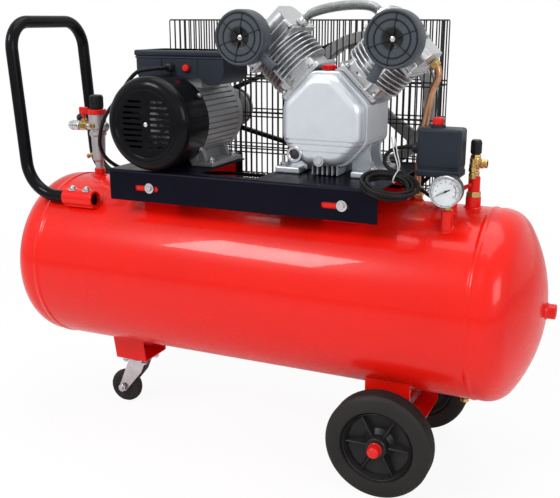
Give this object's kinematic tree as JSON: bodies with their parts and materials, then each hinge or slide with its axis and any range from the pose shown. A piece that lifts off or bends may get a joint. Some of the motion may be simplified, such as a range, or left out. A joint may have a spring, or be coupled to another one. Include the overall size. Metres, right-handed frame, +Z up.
{
  "type": "air compressor",
  "caption": "Wheeled horizontal-tank air compressor with a belt-driven V-twin pump, electric motor, wire belt guard, pressure switch, gauge, regulator and push handle.",
  "frame": {"origin": "on the floor under the middle of the machine's box, leaving out the mains lead", "axes": "+X along the tank towards the two wheels, +Y towards the belt guard at the back, +Z up"},
  "size_m": [1.1054, 0.4296, 0.8721],
  "materials": {
    "tank_red": "gloss bright red paint",
    "black_paint": "gloss black paint",
    "motor_grey": "dark grey satin paint on a cast body",
    "black_plastic": "moulded charcoal black",
    "red_plastic": "moulded red",
    "black_rubber": "dull black",
    "tyre_rubber": "dull black, grooved tread",
    "zinc": "bright zinc plate",
    "steel": "bare machined steel",
    "cast_iron": "dark cast surface",
    "cast_aluminium": "pale sand-cast aluminium",
    "brass": "machined",
    "copper": "copper tube, lightly tarnished",
    "dial_white": "printed white dial",
    "clear_lens": "clear lens"
  },
  "bodies": {
    "chassis": {"tank_shell": "tank_red", "tank_head_left": "tank_red", "tank_head_right": "tank_red", "base_feet": "tank_red", "axle_bracket": "tank_red", "caster_bracket": "tank_red", "handle": "black_paint", "base_plate": "black_paint", "fan_cowl": "black_paint", "guard_front": "black_paint", "guard_rear": "black_paint", "guard_band": "black_paint", "motor_housing": "motor_grey", "drive_shield": "motor_grey", "terminal_box": "black_plastic", "terminal_lid": "black_plastic", "air_filter_left": "black_plastic", "air_filter_right": "black_plastic", "pressure_switch": "black_plastic", "gauge": "black_plastic", "plug": "black_plastic", "oil_plug": "red_plastic", "motor_lead": "black_rubber", "cord_lead": "black_rubber", "cord_coil": "black_rubber", "drive_belt": "black_rubber", "axle": "zinc", "caster_plate": "zinc", "intercooler_hose": "steel", "crankcase": "cast_aluminium", "crankcase_cover": "cast_aluminium", "cylinder_left": "cast_aluminium", "cylinder_right": "cast_aluminium", "head_left": "cast_aluminium", "head_right": "cast_aluminium", "regulator_body": "cast_aluminium", "drain_cock": "brass", "outlet_valve": "brass", "delivery_pipe": "copper"},
    "wheel_front": {"wheel_tyre_front": "tyre_rubber", "wheel_hub_front": "black_plastic"},
    "wheel_rear": {"wheel_tyre_rear": "tyre_rubber", "wheel_hub_rear": "black_plastic"},
    "caster_fork": {"caster_fork": "zinc"},
    "caster_wheel": {"caster_wheel": "tyre_rubber"},
    "crank_assembly": {"crankshaft": "steel", "flywheel": "cast_iron"},
    "motor_rotor": {"motor_shaft": "steel", "cooling_fan": "black_plastic", "motor_pulley": "cast_iron"},
    "piston_left": {"piston_left": "cast_aluminium"},
    "con_rod_left": {"con_rod_left": "cast_aluminium"},
    "piston_right": {"piston_right": "cast_aluminium"},
    "con_rod_right": {"con_rod_right": "cast_aluminium"},
    "switch_knob": {"switch_knob": "red_plastic"},
    "reset_button": {"reset_button": "red_plastic"},
    "gauge_needle": {"gauge_needle": "black_plastic"},
    "outlet_knob": {"outlet_knob": "black_plastic"},
    "regulator_knob": {"regulator_knob": "black_plastic"},
    "tap_handle": {"tap_handle": "red_plastic"}
  },
  "joints": [
    {"name": "wheel_front_spin", "type": "hinge", "parent": "chassis", "child": "wheel_front", "pos_m": [0.28275, -0.1707, 0.09877], "axis": [0, 1, 0], "continuous": true},
    {"name": "wheel_rear_spin", "type": "hinge", "parent": "chassis", "child": "wheel_rear", "pos_m": [0.28275, 0.1283, 0.09877], "axis": [0, 1, 0], "continuous": true},
    {"name": "caster_swivel", "type": "hinge", "parent": "chassis", "child": "caster_fork", "pos_m": [-0.32025, -0.0212, 0.105], "axis": [0, 0, 1], "continuous": true},
    {"name": "caster_wheel_spin", "type": "hinge", "parent": "caster_fork", "child": "caster_wheel", "pos_m": [-0.36025, -0.0212, 0.03678], "axis": [0, 1, 0], "continuous": true},
    {"name": "crank_spin", "type": "hinge", "parent": "chassis", "child": "crank_assembly", "pos_m": [0.13475, -0.0212, 0.676], "axis": [0, 1, 0], "continuous": true},
    {"name": "motor_spin", "type": "hinge", "parent": "chassis", "child": "motor_rotor", "pos_m": [-0.17825, -0.0212, 0.651], "axis": [0, 1, 0], "continuous": true},
    {"name": "piston_left_slide", "type": "slide", "parent": "chassis", "child": "piston_left", "axis": [-0.7071, 0, 0.7071], "range_m": [-0.03324, 0.00675]},
    {"name": "con_rod_left_swing", "type": "hinge", "parent": "piston_left", "child": "con_rod_left", "pos_m": [0.04619, -0.0268, 0.76456], "axis": [0, 1, 0], "range_deg": [-3, 17.5]},
    {"name": "piston_right_slide", "type": "slide", "parent": "chassis", "child": "piston_right", "axis": [0.7071, 0, 0.7071], "range_m": [-0.03324, 0.00675]},
    {"name": "con_rod_right_swing", "type": "hinge", "parent": "piston_right", "child": "con_rod_right", "pos_m": [0.22331, -0.0156, 0.76456], "axis": [0, 1, 0], "range_deg": [-17.5, 3]},
    {"name": "switch_knob_push", "type": "slide", "parent": "chassis", "child": "switch_knob", "axis": [0, 0, 1], "range_m": [-0.0035, 0]},
    {"name": "reset_button_push", "type": "slide", "parent": "chassis", "child": "reset_button", "axis": [0, 1, 0], "range_m": [0, 0.003], "stiffness_N_per_m": 200},
    {"name": "gauge_needle_swing", "type": "hinge", "parent": "chassis", "child": "gauge_needle", "pos_m": [0.36975, -0.1298, 0.56], "axis": [0, 1, 0], "range_deg": [0, 240], "stiffness_Nm_per_rad": 0.002},
    {"name": "outlet_knob_turn", "type": "hinge", "parent": "chassis", "child": "outlet_knob", "pos_m": [0.39575, -0.0212, 0.6096], "axis": [0, 0, 1], "continuous": true},
    {"name": "regulator_knob_turn", "type": "hinge", "parent": "chassis", "child": "regulator_knob", "pos_m": [-0.40325, -0.0212, 0.6553], "axis": [0, 0, 1], "continuous": true},
    {"name": "tap_handle_turn", "type": "hinge", "parent": "chassis", "child": "tap_handle", "pos_m": [-0.43725, -0.0212, 0.63935], "axis": [0, 0, 1], "range_deg": [0, 90]}
  ],
  "couplings": [
    {"joint": "motor_spin", "follows": "crank_spin", "ratio": 3.6133}
  ]
}
